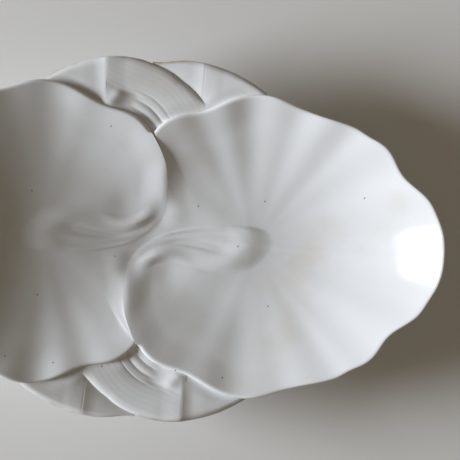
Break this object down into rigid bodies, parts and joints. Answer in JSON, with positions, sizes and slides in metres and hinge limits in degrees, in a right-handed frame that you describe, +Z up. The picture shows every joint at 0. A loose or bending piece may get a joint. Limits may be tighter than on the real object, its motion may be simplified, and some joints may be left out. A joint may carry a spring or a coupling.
{
  "type": "appetizer dish",
  "caption": "Long white glazed ceramic appetizer dish: interlocking lily leaves form the wells, with fluted stems, a folded ribbon border on the long sides and an oval foot ring.",
  "frame": {"origin": "centre of the dish, on the plane that the foot ring stands on", "axes": "+Z up; +X along the dish's long axis, towards the tip of the right leaf; +Y towards the back border. A half turn about Z maps the dish onto itself."},
  "size_m": [0.2366, 0.1448, 0.0413],
  "materials": {
    "white_glaze": "glossy white glaze",
    "bare_clay": "glazed sides with a bare, wiped tread"
  },
  "bodies": {
    "root": {"leaf_right": "white_glaze", "leaf_left": "white_glaze", "stem_right": "white_glaze", "stem_left": "white_glaze", "back_border_tail": "white_glaze", "back_border_wrap": "white_glaze", "back_border_reed": "white_glaze", "back_border_tuck": "white_glaze", "back_border_end": "white_glaze", "front_border_tail": "white_glaze", "front_border_wrap": "white_glaze", "front_border_reed": "white_glaze", "front_border_tuck": "white_glaze", "front_border_end": "white_glaze", "foot_ring": "bare_clay"}
  },
  "joints": []
}
